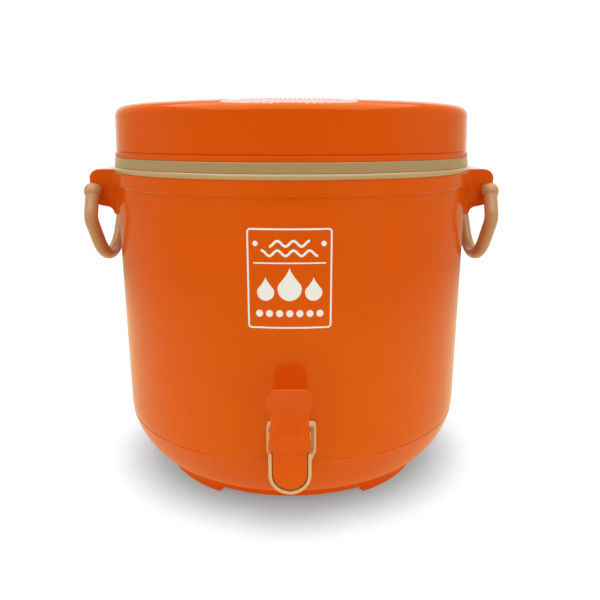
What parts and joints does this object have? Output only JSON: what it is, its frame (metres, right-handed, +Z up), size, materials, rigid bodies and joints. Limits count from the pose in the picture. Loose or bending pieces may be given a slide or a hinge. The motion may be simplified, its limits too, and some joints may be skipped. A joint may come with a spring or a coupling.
{
  "type": "insulated beverage dispenser jug",
  "caption": "Round insulated drink jug with a lift-off domed lid, two swing carrying handles and a pull-lever tap at the front of its base.",
  "frame": {"origin": "on the jug's vertical axis, in the plane of the foot ring's lower face, where the jug stands", "axes": "+Z up along the jug's axis; the tap faces -Y; +X towards the right-hand handle as seen from the front"},
  "size_m": [0.3438, 0.3299, 0.3175],
  "materials": {
    "orange_plastic": "high gloss moulded plastic",
    "lever_orange": "semi-gloss moulded plastic",
    "beige_plastic": "semi-gloss moulded plastic",
    "handle_beige": "semi-gloss moulded plastic",
    "liner_plastic": "smooth food-grade plastic",
    "foam": "closed-cell foam",
    "silicone": "translucent silicone",
    "black_rubber": "matt rubber",
    "white_plastic": "natural white plastic",
    "steel": "stainless steel wire"
  },
  "bodies": {
    "jug": {"outer_shell": "orange_plastic", "left_lug": "orange_plastic", "right_lug": "orange_plastic", "base_cup": "orange_plastic", "liner": "liner_plastic", "body_insulation": "foam", "tap_housing": "beige_plastic", "lever_pin": "steel", "valve_spring": "steel", "spring_retainer": "white_plastic", "tap_washer_outer": "black_rubber", "tap_washer_inner": "black_rubber", "lock_nut": "white_plastic"},
    "lid": {"lid_cap": "orange_plastic", "lid_liner": "beige_plastic", "lid_gasket": "silicone", "lid_insulation": "foam"},
    "lever": {"tap_lever": "lever_orange"},
    "plunger": {"valve_plunger": "white_plastic", "valve_seal": "black_rubber"},
    "handle_left": {"left_handle": "handle_beige"},
    "handle_right": {"right_handle": "handle_beige"}
  },
  "joints": [
    {"name": "lid_lift", "type": "slide", "parent": "jug", "child": "lid", "axis": [0, 0, 1], "range_m": [0, 0.12]},
    {"name": "lever_tilt", "type": "hinge", "parent": "jug", "child": "lever", "pos_m": [0, -0.162, 0.076], "axis": [1, 0, 0], "range_deg": [0, 15], "stiffness_Nm_per_rad": 0.25, "springref_deg": -5.73},
    {"name": "plunger_slide", "type": "slide", "parent": "jug", "child": "plunger", "axis": [0, 1, 0], "range_m": [0, 0.0029], "deforming": ["valve_spring"]},
    {"name": "left_handle_swing", "type": "hinge", "parent": "jug", "child": "handle_left", "pos_m": [-0.165, 0, 0.2436], "axis": [0, 1, 0], "range_deg": [-6, 180]},
    {"name": "right_handle_swing", "type": "hinge", "parent": "jug", "child": "handle_right", "pos_m": [0.165, 0, 0.2436], "axis": [0, -1, 0], "range_deg": [-6, 180]}
  ],
  "couplings": [
    {"joint": "plunger_slide", "follows": "lever_tilt", "m_per_rad": 0.011}
  ]
}
